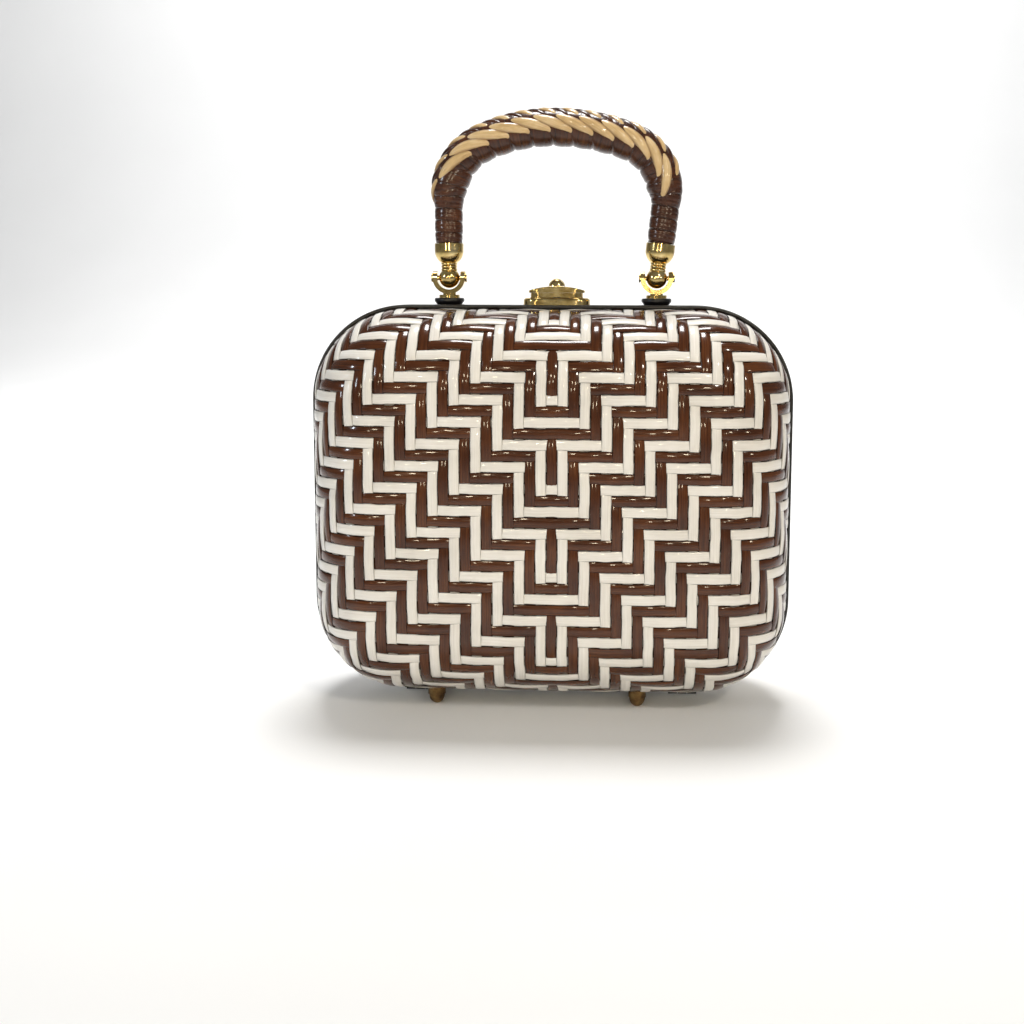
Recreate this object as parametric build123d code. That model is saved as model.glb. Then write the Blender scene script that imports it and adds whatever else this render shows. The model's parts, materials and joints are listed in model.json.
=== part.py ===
from build123d import *
import math
import os

# A hard-sided box handbag: two woven-strip half shells on a black metal clamshell frame, hinged
# at the bottom and closed by a gilt turn clasp at the top, with a braided swing handle.
# Millimetres. +Z up, front towards -Y, the seam on Y = 0 and the feet standing on Z = 0.

# Case
case_width = 216.0
case_height = 176.0
corner_radius = 43.0
half_depth = 46.0
edge_radius = 36.0
crown_radius = 1400.0
foot_height = 5.5

# Frame of each half: a flange along the seam and an outer lip that holds the shell's rim
seam_gap = 0.15
flange_thickness = 2.85
flange_width = 6.1
lip_depth = 4.0
lip_thickness = 1.6
lip_round = 0.6

# Layers of each half shell, from the outside in
weave_thickness = 1.8
board_thickness = 1.5
lining_thickness = 0.8
layer_gap = 0.1

# Hinges at the bottom of the seam
hinge_spacing = 122.0
hinge_length = 13.0
hinge_drop = 2.05
knuckle_radius = 1.7
knuckle_gap = 0.3
hinge_pin_radius = 0.8
leaf_thickness = 0.8
leaf_start = 2.2
leaf_width = 4.0
rivet_radius = 0.6
rivet_head_radius = 1.1
rivet_head_height = 0.5
rivet_spacing = 8.0

# Fits
fixed_fit = 0.02
running_fit = 0.05
seat_gap = 0.05
moving_gap = 0.3

# Handle lugs
lug_spacing = 94.6
lug_y = 7.2
pivot_height = 12.1
washer_radius = 6.8
washer_base_radius = 5.6
washer_thickness = 3.0
lug_foot_radius = 4.7
lug_foot_thickness = 1.4
strap_thickness = 2.1
strap_width = 6.0
stud_radius = 1.5
stud_depth = 1.2
lug_pin_radius = 1.1
lug_pin_head_radius = 2.0
lug_pin_head_height = 0.7

# Ferrules at the handle's ends
ball_radius = 4.7
ball_clearance = 0.6
neck_radius = 3.1
bead_radius = 0.65
bead_first = 3.7
bead_pitch = 1.3
bead_count = 3
cup_start = 5.6
cup_radius = 6.6
cup_end = 15.5
socket_depth = 7.0

# Handle
left_reach = 47.4
right_reach = 51.2
handle_rise = 68.8
shoulder_height = 37.0
shoulder_radius = 26.0
core_radius = 4.5
wrap_end_radius = core_radius + 1.35
wrap_leg_radius = core_radius + 1.7
wrap_arch_radius = core_radius + 3.6
leg_taper_length = 8.0
leg_straight_length = 4.0

# Clasp on top of the seam
clasp_x = 2.2
clasp_length = 30.0
clasp_depth = 13.0
clasp_base_height = 3.2
clasp_base_round = 1.4
clasp_post_length = 23.7
clasp_post_depth = 8.4
clasp_post_height = 2.2
turn_bar_length = 25.5
turn_bar_depth = 9.2
turn_bar_height = 3.0
turn_bar_arch_radius = 42.0
turn_bar_round = 0.5
knob_radius = 3.8
knob_height = 3.4
spindle_radius = 1.5

# Feet
left_foot_x = -51.8
right_foot_x = 39.8
foot_y = 11.3
foot_radius = 4.0
foot_tip_radius = 1.5
foot_collar_height = 1.3
foot_collar_radius = 4.0
foot_waist_radius = 3.5
foot_stud_radius = 1.3
foot_nut_radius = 2.6
foot_nut_height = 1.0
foot_nut_lift = 1.2

# Places worked out from the sizes above
case_bottom = foot_height
case_top = case_bottom + case_height
centre_z = (case_bottom + case_top) / 2
rim_seat = seam_gap + flange_thickness
frame_edge = rim_seat + lip_depth
weave_inset = lip_thickness + layer_gap
board_inset = weave_inset + weave_thickness + layer_gap
lining_inset = board_inset + board_thickness + layer_gap
cavity_inset = lining_inset + lining_thickness
hinge_z = case_bottom - hinge_drop
pivot_z = case_top + pivot_height
pivot_x = lug_spacing / 2
strap_inner_radius = ball_radius + ball_clearance
cut_margin = 20.0

face_plane = Plane(origin=(0, 0, centre_z), x_dir=(1, 0, 0), z_dir=(0, -1, 0))


def slab(inset, start, end):
    """Front block of the case outline, drawn in by inset, from |y| = start to |y| = end."""
    outline = RectangleRounded(
        case_width - 2 * inset, case_height - 2 * inset, corner_radius - inset
    )
    return extrude(face_plane.offset(start) * outline, end - start)


def dome(inset, start):
    """Front half of the case's rounded form, drawn in by inset, open-ended at |y| = start."""
    crown_centre = Pos(0, crown_radius - half_depth, centre_z)
    form = slab(inset, start, half_depth) & (crown_centre * Sphere(crown_radius - inset))
    crown = form.faces().sort_by(Axis.Y)[0]
    return fillet(crown.edges(), edge_radius - inset)


def shell_layer(inset, thickness):
    return dome(inset, rim_seat) - dome(inset + thickness, rim_seat - layer_gap)


def upright(x, y, z, radius, height):
    """Upright cylinder standing on z."""
    return Pos(x, y, z + height / 2) * Cylinder(radius, height)


def along_x(x, y, z, radius, length):
    return Pos(x, y, z) * Rot(0, 90, 0) * Cylinder(radius, length)


def block(x_range, y_range, z_range):
    size = [high - low for low, high in (x_range, y_range, z_range)]
    middle = [(low + high) / 2 for low, high in (x_range, y_range, z_range)]
    return Pos(*middle) * Box(*size)


def to_back(solid):
    return mirror(solid, about=Plane.XZ)


def hinge_centres():
    return {"left": -hinge_spacing / 2, "right": hinge_spacing / 2}


def rivet_places(side_y):
    return [
        (hinge_x + offset, side_y)
        for hinge_x in hinge_centres().values()
        for offset in (-rivet_spacing / 2, rivet_spacing / 2)
    ]


def rivet_line():
    return leaf_start + leaf_width / 2


def frame_half():
    """Front half of the frame, with holes for the hinge rivets."""
    flange = slab(0, seam_gap, rim_seat) - slab(flange_width, 0, frame_edge)
    lip = slab(0, rim_seat, frame_edge) - slab(lip_thickness, 0, frame_edge + cut_margin)
    ring = flange + lip
    outer_edges = ring.edges().filter_by_position(Axis.Y, -frame_edge, -frame_edge)
    ring = fillet(outer_edges, lip_round)
    for x, y in rivet_places(-rivet_line()):
        ring -= upright(x, y, case_bottom, rivet_radius + fixed_fit, lip_thickness)
    return ring


def back_frame():
    """Back half of the frame, with a pad under each handle lug that fills the step to the weave."""
    ring = to_back(frame_half())
    for x in (-pivot_x, pivot_x):
        pad = upright(x, lug_y, case_top - 2 * lip_thickness, washer_radius, 2 * lip_thickness)
        ring += pad - to_back(dome(lip_thickness, 0)) - to_back(slab(lip_thickness, 0, frame_edge))
    for x in (-pivot_x, pivot_x):
        ring -= upright(x, lug_y, case_top - stud_depth, stud_radius + fixed_fit, stud_depth)
    return ring


def foot_places(side_y):
    return {"left": (left_foot_x, side_y), "right": (right_foot_x, side_y)}


def drilled_layer(inset, thickness):
    """One layer of the front half shell, with holes for the foot studs."""
    layer = shell_layer(inset, thickness)
    for x, y in foot_places(-foot_y).values():
        layer -= upright(x, y, case_bottom, foot_stud_radius + fixed_fit, cut_margin)
    return layer


def foot(x, y):
    """Bullet-shaped foot whose top follows the case and whose stud goes through it."""
    shoulder = foot_height - foot_collar_height
    with BuildSketch(Plane.XZ) as profile:
        with BuildLine():
            Line((0, 0), (foot_tip_radius, 0))
            RadiusArc((foot_tip_radius, 0), (foot_waist_radius, shoulder), -foot_radius)
            Polyline(
                (foot_waist_radius, shoulder),
                (foot_collar_radius, shoulder),
                (foot_collar_radius, foot_height + weave_inset + layer_gap + moving_gap),
                (0, foot_height + weave_inset + layer_gap + moving_gap),
                (0, 0),
            )
        make_face()
    body = Pos(x, y, 0) * revolve(profile.sketch, Axis.Z)
    if y < 0:
        body -= dome(weave_inset - seat_gap, 0)
    else:
        body -= to_back(dome(weave_inset - seat_gap, 0))
    stud_top = foot_nut_seat() + foot_nut_height
    return body + upright(x, y, shoulder, foot_stud_radius, stud_top - shoulder)


def foot_nut_seat():
    return case_bottom + cavity_inset + foot_nut_lift


def foot_nuts(side_y):
    ring = Cylinder(foot_nut_radius, foot_nut_height)
    ring -= Cylinder(foot_stud_radius + fixed_fit, foot_nut_height)
    height = foot_nut_seat() + foot_nut_height / 2
    return [Pos(x, y, height) * ring for x, y in foot_places(side_y).values()]


def knuckle_spans():
    """The x spans of a hinge's knuckles about its middle: the front one, then the back pair."""
    third = (hinge_length - 2 * knuckle_gap) / 3
    inner = third / 2
    outer = inner + knuckle_gap
    return [(-inner, inner)], [(-outer - third, -outer), (outer, outer + third)]


def hinge_leaf(x, spans, bore):
    """Front-side leaf under the frame, curled round the pin at each of its knuckles."""
    half_length = hinge_length / 2
    bridge_top = hinge_z + knuckle_radius
    leaf_y = (-leaf_start - leaf_width, -leaf_start)
    leaf = block((-half_length, half_length), leaf_y, (case_bottom - leaf_thickness, case_bottom))
    for start, end in spans:
        leaf += along_x((start + end) / 2, 0, hinge_z, knuckle_radius, end - start)
        leaf += block((start, end), (-leaf_start, 0), (bridge_top - leaf_thickness, bridge_top))
    leaf -= along_x(0, 0, hinge_z, bore, hinge_length + cut_margin)
    for offset in (-rivet_spacing / 2, rivet_spacing / 2):
        hole_z = case_bottom - leaf_thickness
        leaf -= upright(offset, -rivet_line(), hole_z, rivet_radius + fixed_fit, leaf_thickness)
    return Pos(x, 0, 0) * leaf


def hinge_rivets(side_y):
    under_leaf = case_bottom - leaf_thickness
    shank = upright(0, 0, under_leaf, rivet_radius, leaf_thickness + lip_thickness)
    head = upright(0, 0, under_leaf - rivet_head_height, rivet_head_radius, rivet_head_height)
    rivet = head + shank
    return [Pos(x, y, 0) * rivet for x, y in rivet_places(side_y)]


def lug_washer(x):
    cone = Cone(washer_base_radius, washer_radius, washer_thickness / 2)
    washer = Pos(0, 0, washer_thickness / 4) * cone
    washer += upright(0, 0, washer_thickness / 2, washer_radius, washer_thickness / 2)
    top_edges = washer.edges().group_by(Axis.Z)[-1]
    washer = fillet(top_edges, washer_thickness / 4)
    washer -= upright(0, 0, 0, stud_radius + fixed_fit, washer_thickness)
    return Pos(x, lug_y, case_top) * washer


def lug(x):
    """U-shaped gilt shackle on a round foot, with a stud down into the frame."""
    outer_radius = strap_inner_radius + strap_thickness
    prong_top = strap_width / 2
    outer = Circle(outer_radius) + Pos(0, prong_top / 2) * Rectangle(2 * outer_radius, prong_top)
    outer -= Pos(0, outer_radius + prong_top) * Rectangle(4 * outer_radius, 2 * outer_radius)
    inner = Circle(strap_inner_radius)
    inner += Pos(0, outer_radius) * Rectangle(2 * strap_inner_radius, 2 * outer_radius)
    strap = extrude(Plane.XZ * (outer - inner), strap_width / 2, both=True)
    rounding = Rot(0, 90, 0) * Cylinder(strap_width / 2, 4 * outer_radius)
    rounding += Pos(0, 0, -outer_radius) * Box(4 * outer_radius, strap_width, 2 * outer_radius)
    strap &= rounding
    foot_bottom = washer_thickness - pivot_height
    neck_height = -strap_inner_radius - foot_bottom
    strap += upright(0, 0, foot_bottom, lug_foot_radius, lug_foot_thickness)
    strap += upright(0, 0, foot_bottom, strap_width / 2, neck_height - strap_thickness / 2)
    strap += upright(0, 0, -pivot_height - stud_depth, stud_radius, stud_depth + washer_thickness)
    strap -= along_x(0, 0, 0, lug_pin_radius + fixed_fit, 4 * outer_radius)
    return Pos(x, lug_y, pivot_z) * strap


def lug_pin(x):
    """Cross pin with a riveted head on each side of the shackle."""
    outer_radius = strap_inner_radius + strap_thickness
    pin = along_x(0, 0, 0, lug_pin_radius, 2 * outer_radius)
    for side in (-1, 1):
        middle = side * (outer_radius + lug_pin_head_height / 2)
        pin += along_x(middle, 0, 0, lug_pin_head_radius, lug_pin_head_height)
    return Pos(x, lug_y, pivot_z) * pin


def handle_side(reach):
    """Tangent path of the right half of the handle about its middle, from the lug's pivot up.

    Returns the leg's lean from upright in degrees, the leg's length up to the shoulder and the
    points and middles of the shoulder arc and the top arc, in (x, z) from the pivots' line."""
    shoulder_x = reach - shoulder_radius
    rise = handle_rise - shoulder_height
    top_radius = (shoulder_x**2 + rise**2 - shoulder_radius**2) / (2 * (rise - shoulder_radius))
    run = shoulder_x - pivot_x
    span = math.hypot(run, shoulder_height)
    leg_length = math.sqrt(span**2 - shoulder_radius**2)
    angle = math.atan2(shoulder_height, run) - math.asin(shoulder_radius / span)
    leg_end = (pivot_x + leg_length * math.cos(angle), leg_length * math.sin(angle))
    top_centre_z = handle_rise - top_radius
    meet_angle = math.atan2(shoulder_height - top_centre_z, shoulder_x)
    start_angle = angle - math.pi / 2
    middle_angle = (start_angle + meet_angle) / 2
    shoulder_middle = (
        shoulder_x + shoulder_radius * math.cos(middle_angle),
        shoulder_height + shoulder_radius * math.sin(middle_angle),
    )
    meet = (
        shoulder_x + shoulder_radius * math.cos(meet_angle),
        shoulder_height + shoulder_radius * math.sin(meet_angle),
    )
    half_angle = (meet_angle + math.pi / 2) / 2
    top_middle = (
        top_radius * math.cos(half_angle),
        top_centre_z + top_radius * math.sin(half_angle),
    )
    lean = 90 - math.degrees(angle)
    return lean, leg_length, [leg_end, shoulder_middle, meet, top_middle, (0, handle_rise)]


def handle_point(point, side):
    return (side * point[0], lug_y, pivot_z + point[1])


def handle_arcs(side, reach):
    """Shoulder arc and top arc of one side of the handle, from the leg's end to the middle."""
    points = [handle_point(point, side) for point in handle_side(reach)[2]]
    return [ThreePointArc(*points[:3]), ThreePointArc(*points[2:])]


def leg_place(side, reach):
    """Place of a leg: origin on the pivot, Z along the leg."""
    return Pos(side * pivot_x, lug_y, pivot_z) * Rot(0, side * handle_side(reach)[0], 0)


def leg_solid(side, reach, points):
    """Solid turned about a leg from (radius, distance from the pivot) points."""
    face = make_face(Plane.XZ * Polyline(*points, close=True))
    return leg_place(side, reach) * revolve(face, Axis.Z)


def handle_sides():
    return {"left": (-1, left_reach), "right": (1, right_reach)}


def arch_sweep(radius):
    """Round bar through both arcs of both sides, from one leg's end to the other's."""
    left = handle_arcs(-1, left_reach)
    right = handle_arcs(1, right_reach)
    path = Wire([*left, *right])
    start_lean = handle_side(left_reach)[0]
    start = Pos(*handle_point(handle_side(left_reach)[2][0], -1)) * Rot(0, -start_lean, 0)
    return sweep(start * Circle(radius), path)


def handle_core():
    """Plain rod under the braid, socketed in both ferrules."""
    core = arch_sweep(core_radius)
    socket_floor = cup_end - socket_depth
    for side, reach in handle_sides().values():
        leg_end = handle_side(reach)[1]
        points = [(0, socket_floor), (core_radius, socket_floor), (core_radius, leg_end)]
        core += leg_solid(side, reach, [*points, (0, leg_end)])
    return core


def handle_wrap():
    """Braided cover of the core, thicker over the arch than on the legs."""
    bore = core_radius + seat_gap
    wrap = arch_sweep(wrap_arch_radius) - arch_sweep(bore)
    start = cup_end + seat_gap
    for side, reach in handle_sides().values():
        leg_end = handle_side(reach)[1]
        points = [
            (bore, start),
            (wrap_end_radius, start),
            (wrap_leg_radius, start + leg_straight_length),
            (wrap_leg_radius, leg_end - leg_taper_length),
            (wrap_arch_radius, leg_end),
            (bore, leg_end),
        ]
        wrap += leg_solid(side, reach, points)
    return wrap


def ferrule(side, reach):
    """Turned gilt end: a ball on the lug pin, a beaded neck and a cup that holds the rod."""
    cup_centre = cup_start + cup_radius
    cup_wall_points = [(0, cup_centre), (cup_radius, cup_centre), (cup_radius, cup_end)]
    end = Sphere(ball_radius) + upright(0, 0, 0, neck_radius, cup_centre)
    end += Pos(0, 0, cup_centre) * Sphere(cup_radius)
    end += upright(0, 0, cup_centre, cup_radius, cup_end - cup_centre)
    end -= upright(0, 0, cup_end, 2 * cup_radius, 2 * cup_radius)
    for bead in range(bead_count):
        bead_z = bead_first + bead * bead_pitch
        end += Pos(0, 0, bead_z) * Torus(neck_radius, bead_radius)
    bore_radius = core_radius + seat_gap
    end -= upright(0, 0, cup_end - socket_depth - seat_gap, bore_radius, socket_depth + cup_radius)
    turned = leg_place(side, reach) * end
    return turned - along_x(side * pivot_x, lug_y, pivot_z, lug_pin_radius + running_fit, cut_margin)


def stadium(length, depth, height):
    return extrude(SlotOverall(length, depth), height)


def clasp_base(side):
    """One half of the rolled-edge base plate, split along the seam."""
    plate = stadium(clasp_length, clasp_depth, clasp_base_height)
    plate = fillet(plate.edges().group_by(Axis.Z)[-1], clasp_base_round)
    low, high = sorted((side * seam_gap, side * clasp_depth))
    keep = block((-clasp_length, clasp_length), (low, high), (-clasp_depth, clasp_depth))
    plate = Pos(0, 0, case_top) * plate & (Pos(0, 0, case_top) * keep)
    return plate - upright(0, 0, case_top, spindle_radius + moving_gap, clasp_base_height)


def post_bottom():
    return case_top + clasp_base_height


def clasp_post():
    """Neck tier fixed on the back base plate, standing just clear of the front one."""
    post = Pos(0, 0, post_bottom()) * stadium(
        clasp_post_length, clasp_post_depth, clasp_post_height
    )
    clear = block(
        (-clasp_length, clasp_length),
        (-clasp_depth, seam_gap),
        (post_bottom() - moving_gap, post_bottom() + moving_gap),
    )
    bore = upright(0, 0, post_bottom(), spindle_radius + running_fit, clasp_post_height)
    return post - clear - bore


def bar_bottom():
    return post_bottom() + clasp_post_height + running_fit


def clasp_turn_bar():
    """Arched bar that turns on the post."""
    bar = stadium(turn_bar_length, turn_bar_depth, turn_bar_height)
    arch_z = turn_bar_height - turn_bar_arch_radius
    arch = Pos(0, 0, arch_z) * Rot(90, 0, 0) * Cylinder(turn_bar_arch_radius, turn_bar_length)
    bar = bar & arch
    top_edges = bar.edges().filter_by_position(Axis.Z, turn_bar_round, turn_bar_height)
    bar = fillet(top_edges, turn_bar_round)
    bar -= upright(0, 0, 0, spindle_radius + fixed_fit, turn_bar_height)
    return Pos(0, 0, bar_bottom()) * bar


def clasp_knob():
    """Low dome on the bar, bored for the spindle."""
    dome_radius = (knob_radius**2 + knob_height**2) / (2 * knob_height)
    knob = Pos(0, 0, knob_height - dome_radius) * Sphere(dome_radius)
    knob &= upright(0, 0, 0, 2 * dome_radius, 2 * dome_radius)
    knob -= upright(0, 0, 0, spindle_radius + fixed_fit, knob_height / 2)
    return Pos(0, 0, bar_bottom() + turn_bar_height) * knob


def clasp_spindle():
    top = bar_bottom() + turn_bar_height + knob_height / 2
    return upright(0, 0, post_bottom(), spindle_radius, top - post_bottom())


def make_case():
    layers = {
        "weave": (weave_inset, weave_thickness),
        "hard_shell": (board_inset, board_thickness),
        "lining": (lining_inset, lining_thickness),
    }
    nodes = {"front_frame": frame_half(), "back_frame": back_frame()}
    for name, (inset, thickness) in layers.items():
        layer = drilled_layer(inset, thickness)
        nodes[f"front_{name}"] = layer
        nodes[f"back_{name}"] = to_back(layer)
    return nodes


def make_hinges():
    nodes = {}
    front_spans, back_spans = knuckle_spans()
    for side, x in hinge_centres().items():
        front_bore = hinge_pin_radius + running_fit
        back_bore = hinge_pin_radius + fixed_fit
        nodes[f"hinge_leaf_front_{side}"] = hinge_leaf(x, front_spans, front_bore)
        nodes[f"hinge_leaf_back_{side}"] = to_back(hinge_leaf(x, back_spans, back_bore))
        nodes[f"hinge_pin_{side}"] = along_x(x, 0, hinge_z, hinge_pin_radius, hinge_length)
    nodes["hinge_rivets_front"] = hinge_rivets(-rivet_line())
    nodes["hinge_rivets_back"] = hinge_rivets(rivet_line())
    return nodes


def make_handle():
    nodes = {"handle_core": handle_core(), "handle_wrap": handle_wrap()}
    for name, (side, reach) in handle_sides().items():
        nodes[f"ferrule_{name}"] = ferrule(side, reach)
        nodes[f"lug_{name}"] = lug(side * pivot_x)
        nodes[f"lug_washer_{name}"] = lug_washer(side * pivot_x)
        nodes[f"lug_pin_{name}"] = lug_pin(side * pivot_x)
    return nodes


def make_clasp():
    nodes = {
        "clasp_base_front": clasp_base(-1),
        "clasp_base_back": clasp_base(1),
        "clasp_post": clasp_post(),
        "clasp_turn_bar": clasp_turn_bar(),
        "clasp_knob": clasp_knob(),
        "clasp_spindle": clasp_spindle(),
    }
    return {name: Pos(clasp_x, 0, 0) * shape for name, shape in nodes.items()}


def make_feet():
    nodes = {}
    for row, y in {"front": -foot_y, "back": foot_y}.items():
        for side, (x, _) in foot_places(y).items():
            nodes[f"foot_{row}_{side}"] = foot(x, y)
        nodes[f"foot_nuts_{row}"] = foot_nuts(y)
    return nodes


os.makedirs("parts", exist_ok=True)
for makers in (make_case, make_hinges, make_handle, make_clasp, make_feet):
    for node, shape in makers().items():
        solids = shape if isinstance(shape, list) else shape.solids()
        whole = solids[0] if len(solids) == 1 else Compound(children=list(solids))
        export_step(whole, f"parts/{node}.step")
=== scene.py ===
import json
import math

import bpy
import numpy as np
from mathutils import Matrix, Vector


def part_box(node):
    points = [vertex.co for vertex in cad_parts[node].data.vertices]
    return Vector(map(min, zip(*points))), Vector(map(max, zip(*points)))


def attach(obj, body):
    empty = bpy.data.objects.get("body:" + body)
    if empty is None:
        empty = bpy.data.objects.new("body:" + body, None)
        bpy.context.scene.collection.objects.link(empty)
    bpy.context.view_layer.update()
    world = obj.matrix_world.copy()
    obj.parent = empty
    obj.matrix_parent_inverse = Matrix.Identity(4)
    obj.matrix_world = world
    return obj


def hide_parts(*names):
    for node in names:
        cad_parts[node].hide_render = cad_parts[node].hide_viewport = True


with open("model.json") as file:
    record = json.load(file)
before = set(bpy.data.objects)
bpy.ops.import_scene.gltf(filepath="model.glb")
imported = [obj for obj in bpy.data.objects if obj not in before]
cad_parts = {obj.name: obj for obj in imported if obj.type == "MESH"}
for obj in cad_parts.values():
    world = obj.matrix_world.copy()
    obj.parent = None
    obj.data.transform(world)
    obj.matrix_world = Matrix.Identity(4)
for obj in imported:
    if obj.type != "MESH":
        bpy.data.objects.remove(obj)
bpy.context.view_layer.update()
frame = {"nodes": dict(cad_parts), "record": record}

# All modelling sizes are in millimetres and become metres when a mesh is made.
MM = 0.001
chance = np.random.default_rng(184)


def box_mm(node):
    low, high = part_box(node)
    return np.array(low) / MM, np.array(high) / MM


# ---------------------------------------------------------------- sizes from the frame
weave_low, weave_high = box_mm("front_weave")
HALF_WIDTH = (weave_high[0] - weave_low[0]) / 2
HALF_HEIGHT = (weave_high[2] - weave_low[2]) / 2
HALF_DEPTH = -weave_low[1]
CENTRE_Z = (weave_high[2] + weave_low[2]) / 2
RIM_Y = -weave_high[1]
joints = {joint["name"]: joint for joint in frame["record"]["behaviour"]["joints"]}
_, LUG_Y, PIVOT_Z = (value / MM for value in joints["handle_swing"]["pos_m"])
PIVOT_X = sum(corner[0] for corner in box_mm("lug_right")) / 2

# Radii of the woven skin's outer face, as the case is built
CORNER_RADIUS = 41.3
EDGE_RADIUS = 34.3
CROWN_RADIUS = 1398.3

# Weave: strips at an even pitch, four over and four under, stepping one strip at a time.
# Warps stand upright and wefts lie across; rows are counted from the top.
WARP_PITCH = 4.595
WEFT_PITCH = 4.724
FLOAT_LENGTH = 4
WEAVE_X = 1.9
ROW_AT_CENTRE = 14.36
SEED_ROW = 14
WARPS_EACH_SIDE = 31
ROWS_ABOVE = 26
ROWS_BELOW = 27
STRIP_THICKNESS = 0.66
STRIP_CROWN = 0.26
# Half of a strip's width as a share of its pitch
STRIP_FILL = 0.485
# Rise over and fall under a crossing strip, and the share of it lost at a float's ends
WEAVE_LIFT = 0.58
FLOAT_END_SHARE = 0.24
WIDTH_JITTER = 0.02
SWAY = 0.09
# Depth of the weave's middle under the form's outer face
MID_INSET = 0.9
# Strips end this far from the frame's plane, and no corner of one comes closer than the second
END_CLEARANCE = 0.25
RIM_CLEARANCE = 0.05
SAMPLES_PER_CROSSING = 4
FIRST_WEFT_NUMBER = 71
NEWTON_STEPS = 6
TINY = 1e-9

# Each strip and strand takes its own stretch of the streak pattern, this far on in u
WOVEN_UV_STEP = 997.0
STRAND_UV_STEP = 31.0
BACK_UV_SHIFT = np.array([401.0, 0])
STRAND_UV_STRETCH = 1.1


# ---------------------------------------------------------------- the case's rounded form
def form_distance(p, inset):
    """Signed distance of points from the front half of the case's form, drawn in by inset."""
    x, y, z = p[..., 0], p[..., 1], p[..., 2] - CENTRE_Z
    core_radius = CORNER_RADIUS - EDGE_RADIUS
    span_x = HALF_WIDTH - EDGE_RADIUS - core_radius
    span_z = HALF_HEIGHT - EDGE_RADIUS - core_radius
    near_x, near_z = np.clip(x, -span_x, span_x), np.clip(z, -span_z, span_z)
    out_x, out_z = x - near_x, z - near_z
    out = np.hypot(out_x, out_z)
    share = np.where(out > core_radius, core_radius / np.maximum(out, TINY), 1.0)
    foot_x, foot_z = near_x + out_x * share, near_z + out_z * share
    core_y = -(HALF_DEPTH - EDGE_RADIUS) + (foot_x**2 + foot_z**2) / (2 * CROWN_RADIUS)
    front = np.maximum(core_y - y, 0)
    return np.hypot(np.maximum(out - core_radius, 0), front) - (EDGE_RADIUS - inset)


def form_gradient(p, inset, step=1e-3):
    """Gradient of the signed distance, by central differences."""
    gradient = np.empty_like(p)
    for axis in range(3):
        shift = np.zeros(3)
        shift[axis] = step
        rise = form_distance(p + shift, inset) - form_distance(p - shift, inset)
        gradient[..., axis] = rise / (2 * step)
    return gradient


def form_normal(p, inset):
    gradient = form_gradient(p, inset)
    return gradient / np.maximum(np.linalg.norm(gradient, axis=-1, keepdims=True), TINY)


# ---------------------------------------------------------------- the net of strip crossings
def meet(guess, inset, near_a, pitch_a, near_b, pitch_b):
    """Points on the form at pitch_a from near_a and pitch_b from near_b, by Newton's method."""
    p = guess
    for _ in range(NEWTON_STEPS):
        arm_a, arm_b = p - near_a, p - near_b
        long_a = np.linalg.norm(arm_a, axis=-1)
        long_b = np.linalg.norm(arm_b, axis=-1)
        miss = np.stack([form_distance(p, inset), long_a - pitch_a, long_b - pitch_b], -1)
        rows = np.stack(
            [form_gradient(p, inset), arm_a / long_a[..., None], arm_b / long_b[..., None]], -2
        )
        p = p - np.linalg.solve(rows + 1e-6 * np.eye(3), miss[..., None])[..., 0]
    return p


def march(start, direction, pitch, count, inset, plane):
    """Points at an even pitch along the form, in the plane through start with that normal."""
    points = [start]
    heading = np.array(direction, float)
    for _ in range(count):
        p = points[-1] + heading * pitch
        for _ in range(NEWTON_STEPS):
            arm = p - points[-1]
            reach = np.linalg.norm(arm)
            miss = np.array([form_distance(p, inset), reach - pitch, plane @ (p - start)])
            rows = np.stack([form_gradient(p, inset), arm / reach, plane])
            p = p - np.linalg.lstsq(rows, miss, rcond=None)[0]
        heading = (p - points[-1]) / np.linalg.norm(p - points[-1])
        points.append(p)
    return np.array(points)


def net_quadrant(across, along, inset):
    """Crossings of one quadrant, filled in from its two starting lines by equal-sided cells."""
    n, m = len(across), len(along)
    grid = np.empty((n, m, 3))
    grid[:, 0] = across
    grid[0, :] = along
    for diagonal in range(2, n + m - 1):
        i = np.arange(max(1, diagonal - m + 1), min(n - 1, diagonal - 1) + 1)
        j = diagonal - i
        near_a, near_b = grid[i - 1, j], grid[i, j - 1]
        guess = near_a + near_b - grid[i - 1, j - 1]
        grid[i, j] = meet(guess, inset, near_a, WARP_PITCH, near_b, WEFT_PITCH)
    return grid


def right_net(start_x, inset):
    """Crossings [warp, row] from the column at start_x out to the right."""
    start_z = (ROW_AT_CENTRE - SEED_ROW) * WEFT_PITCH
    start_y = -(HALF_DEPTH - inset) + (start_x**2 + start_z**2) / (2 * CROWN_RADIUS)
    start = np.array([start_x, start_y, CENTRE_Z + start_z])
    flat, upright = np.array([0, 0, 1.0]), np.array([1.0, 0, 0])
    across = march(start, (1, 0, 0), WARP_PITCH, WARPS_EACH_SIDE, inset, flat)
    up = march(start, (0, 0, 1), WEFT_PITCH, ROWS_ABOVE, inset, upright)
    down = march(start, (0, 0, -1), WEFT_PITCH, ROWS_BELOW, inset, upright)
    upper, lower = net_quadrant(across, up, inset), net_quadrant(across, down, inset)
    return np.concatenate([upper[:, :0:-1], lower], axis=1)


def weave_net(inset):
    """Crossings [warp, row] of the front half, warps from left to right."""
    right = right_net(WEAVE_X, inset)
    left = right_net(-WEAVE_X, inset)[:0:-1] * np.array([-1, 1, 1])
    return np.concatenate([left, right], axis=0)


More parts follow.
